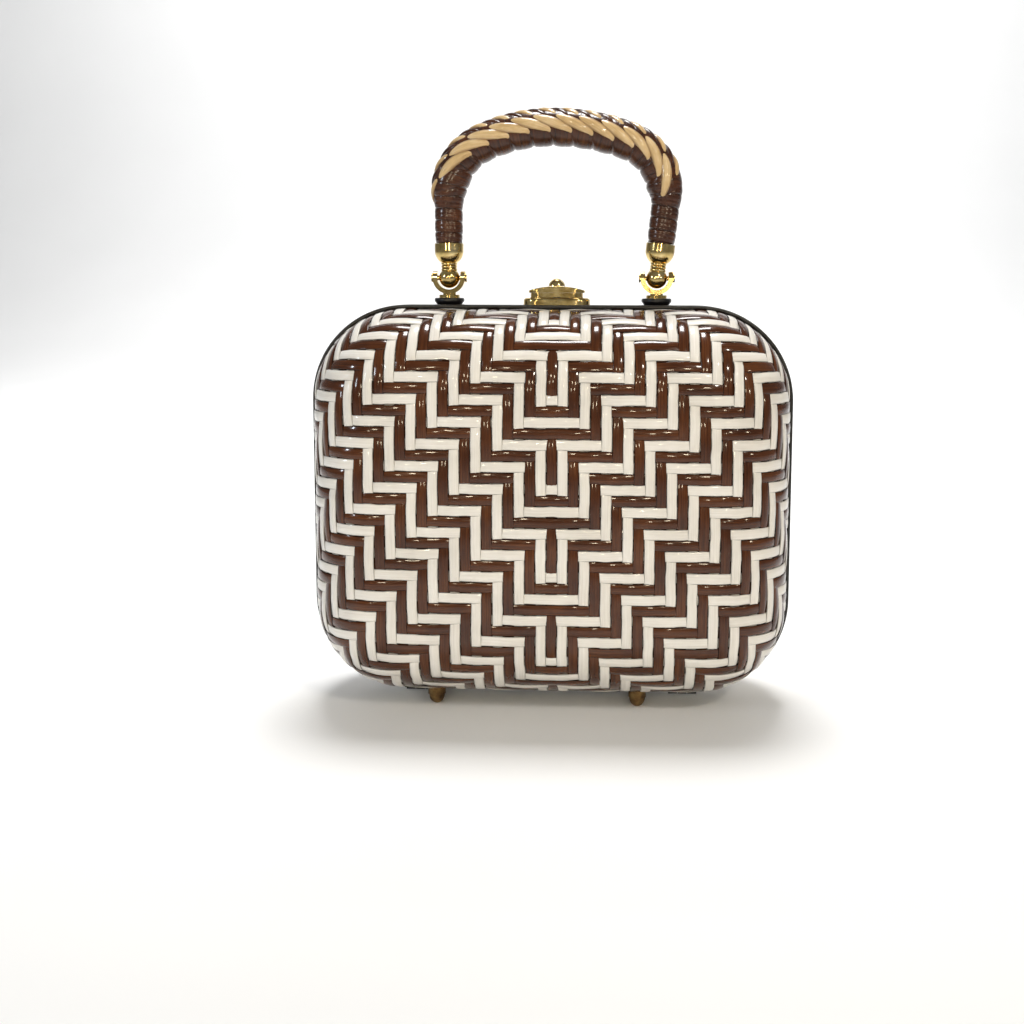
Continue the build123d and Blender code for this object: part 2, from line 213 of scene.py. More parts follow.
# ---------------------------------------------------------------- meshes
def new_piece(name, parts, material, body):
    """One smooth object from (vertices, quads, uvs) parts; a repeated corner makes a triangle."""
    vertices, faces, coords, count = [], [], [], 0
    for part_vertices, part_faces, part_uvs in parts:
        vertices.append(part_vertices)
        faces.append(part_faces + count)
        coords.append(part_uvs)
        count += len(part_vertices)
    vertices, faces, coords = (np.concatenate(items) for items in (vertices, faces, coords))
    mesh = bpy.data.meshes.new(name)
    mesh.vertices.add(len(vertices))
    mesh.vertices.foreach_set("co", (vertices * MM).ravel())
    kept = faces != np.roll(faces, 1, axis=1)
    corners = faces[kept]
    mesh.loops.add(len(corners))
    mesh.loops.foreach_set("vertex_index", corners)
    mesh.polygons.add(len(faces))
    mesh.polygons.foreach_set("loop_start", np.cumsum(kept.sum(1)) - kept.sum(1))
    mesh.update(calc_edges=True)
    layer = mesh.uv_layers.new(name="strip")
    layer.data.foreach_set("uv", coords[corners].ravel())
    mesh.polygons.foreach_set("use_smooth", np.full(len(faces), True))
    mesh.validate()
    mesh.materials.append(material)
    piece = bpy.data.objects.new(name, mesh)
    bpy.context.scene.collection.objects.link(piece)
    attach(piece, body)
    return piece


def ring_quads(rings, around, first=0):
    """Quads between neighbouring rings of points; first is the number of the first point."""
    ring, step = np.meshgrid(np.arange(rings - 1), np.arange(around), indexing="ij")
    a = first + ring * around + step
    b = first + ring * around + (step + 1) % around
    return np.stack([a, a + around, b + around, b], -1).reshape(-1, 4)


def cap_quads(around, first, flip):
    """Quads across a ring of points, from side to side, that close it."""
    k = np.arange((around - 1) // 2)
    quads = first + np.stack([k, k + 1, around - 2 - k, around - 1 - k], -1)
    return quads[:, ::-1] if flip else quads


def tube_faces(rings, around):
    """Quads of a tube of rings, closed at both ends."""
    last = (rings - 1) * around
    return np.concatenate(
        [ring_quads(rings, around), cap_quads(around, 0, False), cap_quads(around, last, True)]
    )


def unit(vectors):
    return vectors / np.linalg.norm(vectors, axis=-1, keepdims=True)


def swept(centres, sides, normals, wide, tall):
    """Vertices of a section carried along centres; wide and tall are [ring, profile point]."""
    across = wide[..., None] * sides[:, None, :]
    upward = tall[..., None] * normals[:, None, :]
    return (centres[:, None, :] + across + upward).reshape(-1, 3)


def strip_uvs(travel, shares):
    """Distance along the strip in u, and the place across it, from 0 to 1, in v."""
    uvs = np.empty((len(travel), len(shares), 2))
    uvs[..., 0] = travel[:, None]
    uvs[..., 1] = (shares[None, :] + 1) / 2
    return uvs.reshape(-1, 2)


def strip_profile(thickness, crown):
    """Section of a flat strip with a crowned face: across the top, then back underneath."""
    half = thickness / 2
    shoulder, edge = half - crown * 0.45, half - crown * 1.3
    return np.array(
        [
            (-1.0, edge),
            (-0.86, shoulder),
            (0.0, half),
            (0.86, shoulder),
            (1.0, edge),
            (0.9, -half),
            (-0.9, -half),
        ]
    )


def smooth_line(points, per_span):
    """Catmull-Rom line through the points."""
    before = np.vstack([2 * points[0] - points[1], points[:-1]])
    after = np.vstack([points[1:], 2 * points[-1] - points[-2]])
    slopes = (after - before) / 2
    t = np.arange(per_span)[None, :, None] / per_span
    p0, p1 = points[:-1, None], points[1:, None]
    m0, m1 = slopes[:-1, None], slopes[1:, None]
    spans = (
        (2 * t**3 - 3 * t**2 + 1) * p0
        + (t**3 - 2 * t**2 + t) * m0
        + (-2 * t**3 + 3 * t**2) * p1
        + (t**3 - t**2) * m1
    )
    return np.vstack([spans.reshape(-1, points.shape[1]), points[-1:]])


def float_heights(over):
    """Heights at the crossings, lower at the ends of each float so that it arches."""
    padded = np.pad(over, 1, mode="edge")
    ends = (padded[:-2] + padded[2:]) * FLOAT_END_SHARE
    return (over * (1 - 2 * FLOAT_END_SHARE) + ends) * WEAVE_LIFT


def eased(values, per_span):
    """Values carried between crossings with flat tops and smooth steps."""
    t = np.arange(per_span) / per_span
    ease = t * t * t * (t * (6 * t - 15) + 10)
    spans = values[:-1, None] * (1 - ease) + values[1:, None] * ease
    return np.append(spans.ravel(), values[-1])


def woven_strip(nodes, spacings, over, number):
    """Mesh of one strip through its crossings; over is +1 where it lies on top."""
    per_span = SAMPLES_PER_CROSSING
    line = smooth_line(nodes, per_span)
    lifts = smooth_line(float_heights(over)[:, None], per_span)[:, 0]
    jitter = 1 + chance.normal(0, WIDTH_JITTER, len(nodes))
    widths = eased(spacings * jitter, per_span) * STRIP_FILL
    sway = eased(chance.normal(0, SWAY, len(nodes)), per_span)
    inside = line[:, 1] < -RIM_Y - END_CLEARANCE
    if inside.sum() < 2 * per_span:
        return None
    kept = slice(np.argmax(inside), len(inside) - np.argmax(inside[::-1]))
    line, lifts, widths, sway = line[kept], lifts[kept], widths[kept], sway[kept]
    normals = form_normal(line, MID_INSET)
    sides = unit(np.cross(normals, unit(np.gradient(line, axis=0))))
    profile = strip_profile(STRIP_THICKNESS, STRIP_CROWN)
    wide = profile[None, :, 0] * widths[:, None]
    tall = profile[None, :, 1] + lifts[:, None]
    vertices = swept(line + sway[:, None] * sides, sides, normals, wide, tall)
    vertices[:, 1] = np.minimum(vertices[:, 1], -RIM_Y - RIM_CLEARANCE)
    travel = np.append(0, np.cumsum(np.linalg.norm(np.diff(line, axis=0), axis=1)))
    uvs = strip_uvs(travel + WOVEN_UV_STEP * number, profile[:, 0])
    return vertices, tube_faces(len(line), len(profile)), uvs


def family_spacing(grid, axis):
    """Distance between neighbouring strips, square to the strips, at every crossing."""
    along = unit(np.gradient(grid, axis=1 - axis))
    across = np.gradient(grid, axis=axis)
    return np.linalg.norm(np.cross(along, across), axis=-1)


def front_strips():
    """Meshes of the front half's strips, by direction and colour."""
    grid = weave_net(MID_INSET)
    warps = np.abs(np.arange(-WARPS_EACH_SIDE, WARPS_EACH_SIDE + 1))
    rows = np.arange(SEED_ROW - ROWS_ABOVE, SEED_ROW + ROWS_BELOW + 1)
    phase = (rows[None, :] - warps[:, None]) % (2 * FLOAT_LENGTH)
    over = np.where(phase < FLOAT_LENGTH, 1.0, -1.0)
    warp_spacing, row_spacing = family_spacing(grid, 0), family_spacing(grid, 1)
    strips = {(way, colour): [] for way in ("warps", "wefts") for colour in ("white", "brown")}
    for index, warp in enumerate(warps):
        strip = woven_strip(grid[index], warp_spacing[index], over[index], index)
        if strip:
            strips["warps", "white" if warp % 2 else "brown"].append(strip)
    for index, row in enumerate(rows):
        number = index + FIRST_WEFT_NUMBER
        strip = woven_strip(grid[:, index], row_spacing[:, index], -over[:, index], number)
        if strip:
            strips["wefts", "brown" if row % 2 else "white"].append(strip)
    return strips


def make_weave(materials):
    """Both halves' woven skins, one piece for each colour and direction of strip."""
    front = front_strips()
    for half in ("front", "back"):
        for (way, colour), strips in front.items():
            if half == "back":
                mirror = np.array([1, -1, 1])
                strips = [(v * mirror, f[:, ::-1], uv + BACK_UV_SHIFT) for v, f, uv in strips]
            slot = f"{colour}_strip"
            name = f"{half}_{way}_{colour}"
            piece = new_piece(name, strips, materials[slot], f"{half}_half")
            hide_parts(f"{half}_weave")


# ---------------------------------------------------------------- the handle
LEFT_REACH, RIGHT_REACH = 47.4, 51.2
HANDLE_RISE = 67.7
SHOULDER_HEIGHT = 37.0
SHOULDER_RADIUS = 26.0
POINTS_PER_ARC = 200

# The wrap: its ends in the ferrules, its legs, and its arch, flatter towards the crest
WRAP_START = 15.7
FLARE_LENGTH = 4
END_RADIUS = 5.85
LEG_RADIUS = 6.25
ARCH_RADIUS = 8.3
CREST_FLATNESS = 0.75
TAPER_START, TAPER_END = 31.0, 43.0
PATH_STEP = 0.22
SLOPE_REACH = 0.6
AROUND = 56

# Relief of the turns on the legs and of the lobes under the arch; groove widths are shares
LEG_TURN = 5.4
LEG_SLANT = 0.7
LEG_BULGE = 0.12
LEG_GROOVE_WIDTH, LEG_GROOVE_DEPTH = 0.05, 0.5
RIB_HEIGHT, RIBS_PER_TURN = 0.05, 3
BRAID_PITCH = 9.75
LOBE_SLANT = 2.5
LOBE_HEIGHT = 0.55
LOBE_GROOVE_WIDTH, LOBE_GROOVE_DEPTH = 0.06, 0.35
LEG_SHARE_ON_ARCH = 0.3
CREST_RELIEF = 0.35

# Strands, by distance along the handle and by degrees from its crest towards the front
BRAID_FROM, BRAID_TO_END = 41.0, 56.0
FLANK_FROM, FLANK_TO, FLANK_RUN = 52.0, 116.0, 22.0
CREST_FROM, CREST_TO, CREST_RUN = 64.0, -64.0, -15.0
CREAM_CREST_SHIFT, BROWN_CREST_SHIFT = 0.35, 0.85
FLANK_SIZE = (2.6, 1.3)
CREAM_CREST_SIZE = (2.3, 0.95)
BROWN_CREST_SIZE = (1.9, 0.8)
STRAND_SAMPLES = 26
STRAND_GAP = 0.05
STRAND_DIVE = 0.9
STRAND_PROFILE = np.array(
    [
        (-1.0, -0.15),
        (-0.8, 0.5),
        (-0.4, 0.88),
        (0.0, 1.0),
        (0.4, 0.88),
        (0.8, 0.5),
        (1.0, -0.15),
        (0.6, -0.8),
        (-0.6, -0.8),
    ]
)


def handle_half(reach):
    """Dense points of one side of the handle in (x, z) from its pivot: leg, shoulder, top."""
    shoulder_x = reach - SHOULDER_RADIUS
    rise = HANDLE_RISE - SHOULDER_HEIGHT
    top_radius = (shoulder_x**2 + rise**2 - SHOULDER_RADIUS**2) / (2 * (rise - SHOULDER_RADIUS))
    run = shoulder_x - PIVOT_X
    span = math.hypot(run, SHOULDER_HEIGHT)
    lean = math.atan2(SHOULDER_HEIGHT, run) - math.asin(SHOULDER_RADIUS / span)
    leg_length = math.sqrt(span**2 - SHOULDER_RADIUS**2)
    low = SHOULDER_HEIGHT - (HANDLE_RISE - top_radius)
    meet_angle = math.atan2(low, shoulder_x)
    legs = np.linspace(0, leg_length, POINTS_PER_ARC)[:, None]
    legs = legs * [[math.cos(lean), math.sin(lean)]]
    turn = np.linspace(lean - math.pi / 2, meet_angle, POINTS_PER_ARC)[1:]
    shoulder = np.stack([np.cos(turn), np.sin(turn)], -1) * SHOULDER_RADIUS
    sweep = np.linspace(meet_angle, math.pi / 2, POINTS_PER_ARC)[1:]
    top = np.stack([np.cos(sweep), np.sin(sweep)], -1) * top_radius
    return np.vstack(
        [
            legs + [PIVOT_X, 0],
            shoulder + [shoulder_x, SHOULDER_HEIGHT],
            top + [0, HANDLE_RISE - top_radius],
        ]
    )


class HandlePath:
    """The handle's centre line by distance from the left pivot, with its outward direction."""

    def __init__(self):
        left = handle_half(LEFT_REACH) * [-1, 1]
        right = handle_half(RIGHT_REACH)[::-1][1:]
        self.flat = np.vstack([left, right])
        steps = np.linalg.norm(np.diff(self.flat, axis=0), axis=1)
        self.travel = np.append(0, np.cumsum(steps))
        self.length = self.travel[-1]

    def at(self, s):
        x = np.interp(s, self.travel, self.flat[:, 0])
        z = np.interp(s, self.travel, self.flat[:, 1])
        return np.stack([x, np.full_like(x, LUG_Y), z + PIVOT_Z], -1)

    def outward(self, s):
        along = unit(self.at(s + SLOPE_REACH) - self.at(s - SLOPE_REACH))
        return np.stack([-along[..., 2], np.zeros_like(s), along[..., 0]], -1)

    def point(self, s, angle, radius):
        """Points at distance s, angle from the crest towards the front, and radius."""
        front = np.array([0, -1.0, 0])
        ray = np.cos(angle)[..., None] * self.outward(s) + np.sin(angle)[..., None] * front
        return self.at(s) + radius[..., None] * ray, ray

    def arch_share(self, s):
        """0 on the legs and 1 on the arch."""
        from_end = np.minimum(s, self.length - s)
        return np.clip((from_end - TAPER_START) / (TAPER_END - TAPER_START), 0, 1)

    def wrap_radius(self, s, angle):
        from_end = np.minimum(s, self.length - s)
        blend = self.arch_share(s)
        blend = blend * blend * (3 - 2 * blend)
        flare = np.clip((from_end - WRAP_START) / FLARE_LENGTH, 0, 1)
        leg = END_RADIUS + (LEG_RADIUS - END_RADIUS) * flare
        arch = ARCH_RADIUS - CREST_FLATNESS * (1 + np.cos(angle)) / 2
        return leg + (arch - leg) * blend


def groove(turn, width):
    """1 in the gap between one turn and the next, 0 away from it."""
    return np.exp(-((np.minimum(turn, 1 - turn) / width) ** 2))


def brown_wrap(path):
    """The brown lacing as one tube: ribbed turns on the legs, deeper lobes under the arch."""
    s = np.arange(WRAP_START, path.length - WRAP_START, PATH_STEP)
    angle = np.arange(AROUND) * (2 * math.pi / AROUND)
    s, angle = np.meshgrid(s, angle, indexing="ij")
    turn = ((s + LEG_SLANT * np.cos(angle)) / LEG_TURN + angle / (2 * math.pi)) % 1.0
    bulge = LEG_BULGE * np.sin(math.pi * turn) ** 0.5
    ribs = RIB_HEIGHT * np.cos(2 * math.pi * RIBS_PER_TURN * turn)
    leg_relief = bulge - LEG_GROOVE_DEPTH * groove(turn, LEG_GROOVE_WIDTH) + ribs
    lobe = ((s + LOBE_SLANT * np.cos(angle)) / BRAID_PITCH) % 1.0
    lobe_relief = LOBE_HEIGHT * np.sin(math.pi * lobe) ** 0.8
    lobe_relief = lobe_relief - LOBE_GROOVE_DEPTH * groove(lobe, LOBE_GROOVE_WIDTH)
    arch_relief = lobe_relief + LEG_SHARE_ON_ARCH * leg_relief
    under = (1 - np.cos(angle)) / 2
    arch = path.arch_share(s)
    on_arch = arch_relief * arch * (CREST_RELIEF + (1 - CREST_RELIEF) * under)
    relief = leg_relief * (1 - arch) + on_arch
    vertices, _ = path.point(s, angle, path.wrap_radius(s, angle) + relief)
    uvs = np.stack([angle * LEG_RADIUS + s, turn], -1)
    return vertices.reshape(-1, 3), tube_faces(*s.shape), uvs.reshape(-1, 2)


def strand(path, start, run, angles, size, number):
    """One visible strand of the braid, with narrow ends that dive under the others."""
    half_width, height = size
    t = np.linspace(0, 1, STRAND_SAMPLES)
    s = start + run * t
    angle = np.radians(angles[0] + (angles[1] - angles[0]) * t)
    taper = np.sin(math.pi * np.clip(t, 0.02, 0.98) ** 0.9) ** 0.6
    base = path.wrap_radius(s, angle) + STRAND_GAP
    surface, ray = path.point(s, angle, base)
    sides = np.cross(ray, unit(np.gradient(surface, axis=0)))
    across = STRAND_PROFILE[:, 0]
    curl = (half_width * taper) ** 2 / (2 * base)
    dive = -STRAND_DIVE * height * (1 - taper)
    wide = across[None, :] * (half_width * taper)[:, None]
    tall = STRAND_PROFILE[None, :, 1] * height * taper[:, None] + dive[:, None]
    tall = tall - across[None, :] ** 2 * curl[:, None]
    vertices = swept(surface, sides, ray, wide, tall)
    uvs = strip_uvs(abs(run) * STRAND_UV_STRETCH * t + STRAND_UV_STEP * number, across)
    return vertices, tube_faces(STRAND_SAMPLES, len(across)), uvs


def strand_row(path, starts, run, angles, size, first_number):
    """Strands of one kind, one at each start."""
    return [strand(path, s, run, angles, size, first_number + n) for n, s in enumerate(starts)]


def make_handle(materials):
    """Brown lacing over the whole handle, with cream and brown strands braided on the arch."""
    path = HandlePath()
    first, last = BRAID_FROM, path.length - BRAID_TO_END
    starts = np.linspace(first, last, round((last - first) / BRAID_PITCH) + 1)
    over = np.append(starts, starts[-1] + BRAID_PITCH) + CREAM_CREST_SHIFT * BRAID_PITCH
    between = starts + BROWN_CREST_SHIFT * BRAID_PITCH
    front, back, crest = (FLANK_FROM, FLANK_TO), (-FLANK_FROM, -FLANK_TO), (CREST_FROM, CREST_TO)
    cream = strand_row(path, starts, FLANK_RUN, front, FLANK_SIZE, 0)
    cream += strand_row(path, path.length - starts, -FLANK_RUN, back, FLANK_SIZE, 120)
    cream += strand_row(path, over, CREST_RUN, crest, CREAM_CREST_SIZE, 40)
    brown = strand_row(path, between, CREST_RUN, crest, BROWN_CREST_SIZE, 80)
    pieces = (
        ("handle_lacing_brown", [brown_wrap(path)], "brown"),
        ("handle_strands_cream", cream, "cream"),
        ("handle_strands_brown", brown, "brown"),
    )
    for name, parts, colour in pieces:
        piece = new_piece(name, parts, materials[f"handle_{colour}"], "handle")
        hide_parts("handle_wrap")


# ---------------------------------------------------------------- the lining
LINING_INSET = 3.55
LINING_THICKNESS = 0.6
LINING_RINGS, LINING_SPOKES = 60, 180
LINING_EDGE_GAP = 0.3
CORNER_FOLD, CORNER_FOLDS = 0.25, 46
RIPPLE, RIPPLES_AROUND, RIPPLES_DOWN = 0.06, 17, 9
RAY_START = 40.0
RAY_STEPS, RAY_STEP_SHARE = 40, 0.9


def lining_surface(inset, puckered):
    """Dome of points found along rays from the middle of the seam, out to the form."""
    spread = np.linspace(0, 1, LINING_RINGS)[1:] * (math.pi / 2)
    turn = np.arange(LINING_SPOKES) * (2 * math.pi / LINING_SPOKES)
    tilt, around = np.meshgrid(spread, turn, indexing="ij")
    ray = np.stack(
        [np.sin(tilt) * np.cos(around), -np.cos(tilt), np.sin(tilt) * np.sin(around)], -1
    )
    origin = np.array([0, -RIM_Y - LINING_EDGE_GAP, CENTRE_Z])
    reach = np.full(tilt.shape, RAY_START)
    for _ in range(RAY_STEPS):
        reach -= form_distance(origin + ray * reach[..., None], inset) * RAY_STEP_SHARE
    points = origin + ray * reach[..., None]
    if puckered:
        corner = np.sin(2 * around) ** 4 * np.sin(tilt) ** 3
        fold = CORNER_FOLD * corner * (1 + np.sin(around * CORNER_FOLDS))
        fold += RIPPLE * np.sin(around * RIPPLES_AROUND + tilt * RIPPLES_DOWN)
        points -= form_normal(points, inset) * np.maximum(fold, 0)[..., None]
    return points


def lining_mesh(outer, inner):
    """Closed cloth between two domes of points: both faces, the edge and the two middles."""
    rings, around = outer.shape[:2]
    inner_first = rings * around
    step = np.arange(around)
    edge = (rings - 1) * around + step
    next_edge = (rings - 1) * around + (step + 1) % around
    faces = [
        ring_quads(rings, around),
        ring_quads(rings, around, inner_first)[:, ::-1],
        np.stack([edge, edge + inner_first, next_edge + inner_first, next_edge], -1),
        cap_quads(around, 0, False),
        cap_quads(around, inner_first, True),
    ]
    return np.vstack([outer.reshape(-1, 3), inner.reshape(-1, 3)]), np.concatenate(faces)


def make_lining(material):
    """Thin closed cloth lining of each half, puckered a little in its corners."""
    outer = lining_surface(LINING_INSET, False)
    inner = lining_surface(LINING_INSET + LINING_THICKNESS, True)
    vertices, faces = lining_mesh(outer, inner)
    uvs = vertices[:, [0, 2]]
    mirrored = vertices * [1, -1, 1]
    halves = (("front", vertices, faces), ("back", mirrored, faces[:, ::-1]))
    for half, points, quads in halves:
        parts = [(points, quads, uvs)]
        name = f"{half}_lining_cloth"
        piece = new_piece(name, parts, material, f"{half}_half")
        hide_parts(f"{half}_lining")


# ---------------------------------------------------------------- materials
class Nodes:
    """Small helper that builds a material's node tree."""

    def __init__(self, name):
        self.material = bpy.data.materials.new(name)
        self.material.use_nodes = True
        self.tree = self.material.node_tree
        self.shader = self.tree.nodes["Principled BSDF"]

    def add(self, kind, values=None, **settings):
        node = self.tree.nodes.new(kind)
        for key, value in settings.items():
            setattr(node, key, value)
        for key, value in (values or {}).items():
            node.inputs[key].default_value = value
        return node

    def link(self, source, target):
        self.tree.links.new(source, target)

    def shade(self, **outputs):
        """Links outputs to the shader's sockets, named with an underscore for each space."""
        for socket, output in outputs.items():
            self.link(output, self.shader.inputs[socket.replace("_", " ")])

    def settle(self, **values):
        """Sets the shader's sockets, named with an underscore for each space."""
        for socket, value in values.items():
            self.shader.inputs[socket.replace("_", " ")].default_value = value

    def place(self, scale=(1, 1, 1), coordinate="Object"):
        coords = self.add("ShaderNodeTexCoord")
        mapping = self.add("ShaderNodeMapping", {"Scale": scale})
        self.link(coords.outputs[coordinate], mapping.inputs["Vector"])
        return mapping.outputs["Vector"]

    def noise(self, vector, scale, detail=3.0, roughness=0.55):
        node = self.add(
            "ShaderNodeTexNoise", {"Scale": scale, "Detail": detail, "Roughness": roughness}
        )
        self.link(vector, node.inputs["Vector"])
        return node.outputs["Fac"]

    def ramp(self, source, stops):
        node = self.add("ShaderNodeValToRGB")
        elements = node.color_ramp.elements
        while len(elements) < len(stops):
            elements.new(0.5)
        for element, (position, colour) in zip(elements, stops):
            element.position = position
            element.color = (*colour, 1)
        self.link(source, node.inputs["Fac"])
        return node.outputs["Color"]

    def scale_range(self, source, low, high):
        node = self.add("ShaderNodeMapRange", {"To Min": low, "To Max": high})
        self.link(source, node.inputs["Value"])
        return node.outputs["Result"]

    def math(self, operation, first, second=None):
        """Math node on an output and, if given, a second output or a number."""
        node = self.add("ShaderNodeMath", operation=operation)
        self.link(first, node.inputs[0])
        if isinstance(second, float):
            node.inputs[1].default_value = second
        elif second is not None:
            self.link(second, node.inputs[1])
        return node.outputs[0]

    def blend(self, first, second, share):
        """Mix of two numbers; 2 and 3 are the float sockets of a Mix node."""
        node = self.add("ShaderNodeMix", {"Factor": share}, data_type="FLOAT")
        self.link(first, node.inputs[2])
        self.link(second, node.inputs[3])
        return node.outputs[0]

    def painted_edge_shade(self, colour, width, painted_shade_colour):
        """Colour turned to the given shade colour at a strip's long edges, as painted shade; 6
        and 7 are colour sockets.
        """
        coords = self.add("ShaderNodeTexCoord")
        parts = self.add("ShaderNodeSeparateXYZ")
        self.link(coords.outputs["UV"], parts.inputs["Vector"])
        # Painted shade mask: 0 across the strip's middle, rising to 1 at its long edges.
        away = self.math("ABSOLUTE", self.math("SUBTRACT", parts.outputs["Y"], 0.5))
        edge = self.add("ShaderNodeMapRange", {"From Min": 0.5 - width, "From Max": 0.5})
        self.link(away, edge.inputs["Value"])
        mix = self.add("ShaderNodeMix", data_type="RGBA")
        self.link(edge.outputs["Result"], mix.inputs["Factor"])
        self.link(colour, mix.inputs[6])
        mix.inputs[7].default_value = (*painted_shade_colour, 1)
        return mix.outputs[2]

    def bump(self, height, strength, distance, normal=None):
        node = self.add("ShaderNodeBump", {"Strength": strength, "Distance": distance})
        self.link(height, node.inputs["Height"])
        if normal is not None:
            self.link(normal, node.inputs["Normal"])
        return node.outputs["Normal"]


def strip_material(name, dark, middle, light, roughness, coat, streak_depth):
    """Glossy flat strip with lengthwise streaks and a faint unevenness, and painted shade
    darkening its long edges.
    """
    n = Nodes(name)
    streaks = n.noise(n.place((0.035, 7.0, 1.0), "UV"), 1.0, 4.0, 0.6)
    blotches = n.noise(n.place(), 55.0)
    tone = n.blend(streaks, blotches, 0.45)
    colour = n.ramp(tone, [(0.3, dark), (0.5, middle), (0.7, light)])
    fine = n.bump(streaks, streak_depth, 0.0002)
    n.shade(
        # Painted shade: the long edges darken to a third of the darkest colour, standing in for
        # the dark gaps between neighbouring strips.
        Base_Color=n.painted_edge_shade(colour, 0.09, [value * 0.3 for value in dark]),
        Roughness=n.scale_range(blotches, roughness - 0.05, roughness + 0.07),
        Normal=n.bump(n.noise(n.place(), 170.0, 2.0), 0.12, 0.0006, fine),
    )
    n.settle(Specular_IOR_Level=0.12, Coat_Weight=coat, Coat_Roughness=0.06)
    return n.material


def lacing_material(name, dark, middle, light, edge, edge_width, roughness, coat):
    """Glossy flat lacing with fine cross lines and soft streaks, and painted shade along the
    edges of each turn and strand.
    """
    n = Nodes(name)
    streaks = n.noise(n.place((0.12, 8.0, 1.0), "UV"), 1.0, 4.0, 0.6)
    cross = n.noise(n.place((2.6, 0.5, 1.0), "UV"), 1.0, 2.0)
    patches = n.noise(n.place(), 120.0, 2.0)
    tone = n.blend(streaks, patches, 0.5)
    colour = n.ramp(tone, [(0.3, dark), (0.5, middle), (0.72, light)])
    n.shade(
        # Painted shade: the edge colour darkens the seams between turns of the wrap and the sides
        # of the strands, so that they look rounded.
        Base_Color=n.painted_edge_shade(colour, edge_width, edge),
        Roughness=n.scale_range(patches, roughness - 0.04, roughness + 0.08),
        Normal=n.bump(streaks, 0.2, 0.0002, n.bump(cross, 0.25, 0.0002)),
    )
    n.settle(Specular_IOR_Level=0.3, Coat_Weight=coat, Coat_Roughness=0.07)
    return n.material


def metal_material(name, dark, middle, light, roughness):
    """Plated metal with tarnish in soft patches and fine handling scratches."""
    n = Nodes(name)
    patches = n.noise(n.place(), 190.0, 4.0, 0.6)
    wear = n.noise(n.place(), 420.0)
    scratches = n.noise(n.place((900, 900, 160)), 1.0, 2.0)
    n.shade(
        Base_Color=n.ramp(patches, [(0.3, dark), (0.52, middle), (0.72, light)]),
        Roughness=n.scale_range(wear, roughness, roughness + 0.12),
        Normal=n.bump(scratches, 0.06, 0.0002),
    )
    n.settle(Metallic=1.0)
    return n.material


def enamel_material(name, dark, light, roughness):
    """Satin black paint with dust specks and a little rub."""
    n = Nodes(name)
    rub = n.noise(n.place(), 90.0, 4.0, 0.65)
    n.shade(
        Base_Color=n.ramp(rub, [(0.35, dark), (0.75, light)]),
        Roughness=n.scale_range(rub, roughness - 0.08, roughness + 0.15),
        Normal=n.bump(n.noise(n.place(), 900.0, 2.0), 0.1, 0.0002),
    )
    n.settle(Specular_IOR_Level=0.45)
    return n.material


def cloth_material(name, dark, light, threads):
    """Plain woven lining cloth: crossed threads in colour and relief."""
    n = Nodes(name)
    coords = n.add("ShaderNodeTexCoord")
    shape = {"Scale": threads, "Distortion": 1.2, "Detail": 2.0, "Detail Scale": 3.0}
    waves = []
    for axis in ("X", "Z"):
        wave = n.add("ShaderNodeTexWave", shape, bands_direction=axis)
        n.link(coords.outputs["Object"], wave.inputs["Vector"])
        waves.append(wave.outputs["Fac"])
    weave = n.math("MULTIPLY", *waves)
    n.shade(
        Base_Color=n.ramp(weave, [(0.1, dark), (0.8, light)]),
        Normal=n.bump(weave, 0.4, 0.0003),
    )
    n.settle(Roughness=0.85, Sheen_Weight=0.25)
    return n.material


def board_material(name, dark, light):
    """Dark moulded board with a fibrous surface."""
    n = Nodes(name)
    fibres = n.noise(n.place(), 260.0, 5.0, 0.7)
    n.shade(
        Base_Color=n.ramp(fibres, [(0.35, dark), (0.7, light)]),
        Normal=n.bump(fibres, 0.3, 0.0003),
    )
    n.settle(Roughness=0.8)
    return n.material


